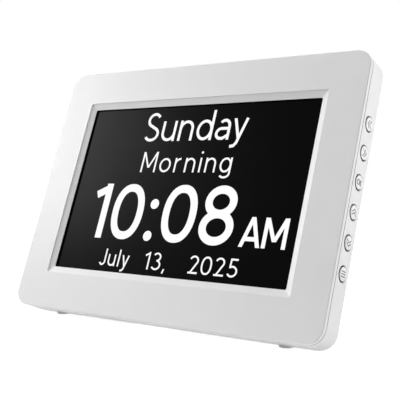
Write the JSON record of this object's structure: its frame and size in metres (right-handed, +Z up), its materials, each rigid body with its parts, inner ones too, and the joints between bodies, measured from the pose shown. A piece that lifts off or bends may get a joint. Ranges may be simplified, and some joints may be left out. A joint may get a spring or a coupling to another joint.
{
  "type": "day clock",
  "caption": "Calendar day clock: wide display in a white rounded case, push buttons down one side, leaning back on a fold-out leg.",
  "frame": {"origin": "on the table under the middle of the clock, as it stands on its feet and its opened leg", "axes": "+X to the right seen from the front, where the buttons are; +Y backwards; +Z up. The face looks towards -Y and leans back."},
  "size_m": [0.2183, 0.0752, 0.1542],
  "materials": {
    "white_case": "moulded white plastic with a satin skin",
    "white_button": "moulded white plastic, slightly smoother than the case",
    "display_glass": "black display panel behind an anti-glare polariser",
    "black_foam": "black closed-cell foam",
    "diffuser_film": "milky film",
    "clear_acrylic": "clear acrylic light guide",
    "reflector_film": "white reflecting film",
    "bright_steel": "bright steel, plated",
    "dark_screw_steel": "black zinc plated steel",
    "circuit_board": "green solder mask over glass fibre",
    "black_moulding": "black moulded plastic",
    "capacitor_can": "aluminium can",
    "pale_socket": "natural nylon",
    "flex_film": "amber film with copper tracks",
    "pale_cable": "grey insulated ribbon",
    "speaker_black": "black speaker frame, paper cone and magnet",
    "pale_rubber": "pale grey rubber"
  },
  "bodies": {
    "case": {"front_bezel": "white_case", "rear_cover": "white_case", "display_gasket": "black_foam", "lcd_glass": "display_glass", "diffuser_sheet": "diffuser_film", "light_guide": "clear_acrylic", "reflector_sheet": "reflector_film", "led_strip": "circuit_board", "lcd_metal_frame": "bright_steel", "lcd_bracket_left": "bright_steel", "lcd_bracket_right": "bright_steel", "cover_screws": "dark_screw_steel", "bracket_screws": "bright_steel", "board_screws": "bright_steel", "button_board_screws": "bright_steel", "main_board": "circuit_board", "processor_chip": "black_moulding", "capacitors": "capacitor_can", "coin_cell_holder": "black_moulding", "coin_cell": "bright_steel", "dc_jack": "black_moulding", "dc_jack_pin": "bright_steel", "board_sockets": "pale_socket", "button_board_socket": "pale_socket", "display_flex_cable": "flex_film", "button_ribbon_cable": "pale_cable", "speaker_cable": "black_moulding", "speaker": "speaker_black", "speaker_gasket": "black_foam", "button_board": "circuit_board", "tact_switches": "bright_steel", "rubber_feet": "pale_rubber", "hinge_pin": "bright_steel", "hinge_washers": "black_moulding"},
    "button_previous": {"button_previous": "white_button", "plunger_previous": "black_moulding"},
    "button_next": {"button_next": "white_button", "plunger_next": "black_moulding"},
    "button_confirm": {"button_confirm": "white_button", "plunger_confirm": "black_moulding"},
    "button_up": {"button_up": "white_button", "plunger_up": "black_moulding"},
    "button_down": {"button_down": "white_button", "plunger_down": "black_moulding"},
    "button_menu": {"button_menu": "white_button", "plunger_menu": "black_moulding"},
    "leg": {"stand_leg": "white_case", "leg_foot_pad": "pale_rubber"}
  },
  "joints": [
    {"name": "press_previous", "type": "slide", "parent": "case", "child": "button_previous", "axis": [-1, 0, 0], "range_m": [0, 0.0005], "stiffness_N_per_m": 3000},
    {"name": "press_next", "type": "slide", "parent": "case", "child": "button_next", "axis": [-1, 0, 0], "range_m": [0, 0.0005], "stiffness_N_per_m": 3000},
    {"name": "press_confirm", "type": "slide", "parent": "case", "child": "button_confirm", "axis": [-1, 0, 0], "range_m": [0, 0.0005], "stiffness_N_per_m": 3000},
    {"name": "press_up", "type": "slide", "parent": "case", "child": "button_up", "axis": [-1, 0, 0], "range_m": [0, 0.0005], "stiffness_N_per_m": 3000},
    {"name": "press_down", "type": "slide", "parent": "case", "child": "button_down", "axis": [-1, 0, 0], "range_m": [0, 0.0005], "stiffness_N_per_m": 3000},
    {"name": "press_menu", "type": "slide", "parent": "case", "child": "button_menu", "axis": [-1, 0, 0], "range_m": [0, 0.0005], "stiffness_N_per_m": 3000},
    {"name": "leg_fold", "type": "hinge", "parent": "case", "child": "leg", "pos_m": [0, 0.00978, 0.07782], "axis": [-1, 0, 0], "range_deg": [0, 35]}
  ]
}
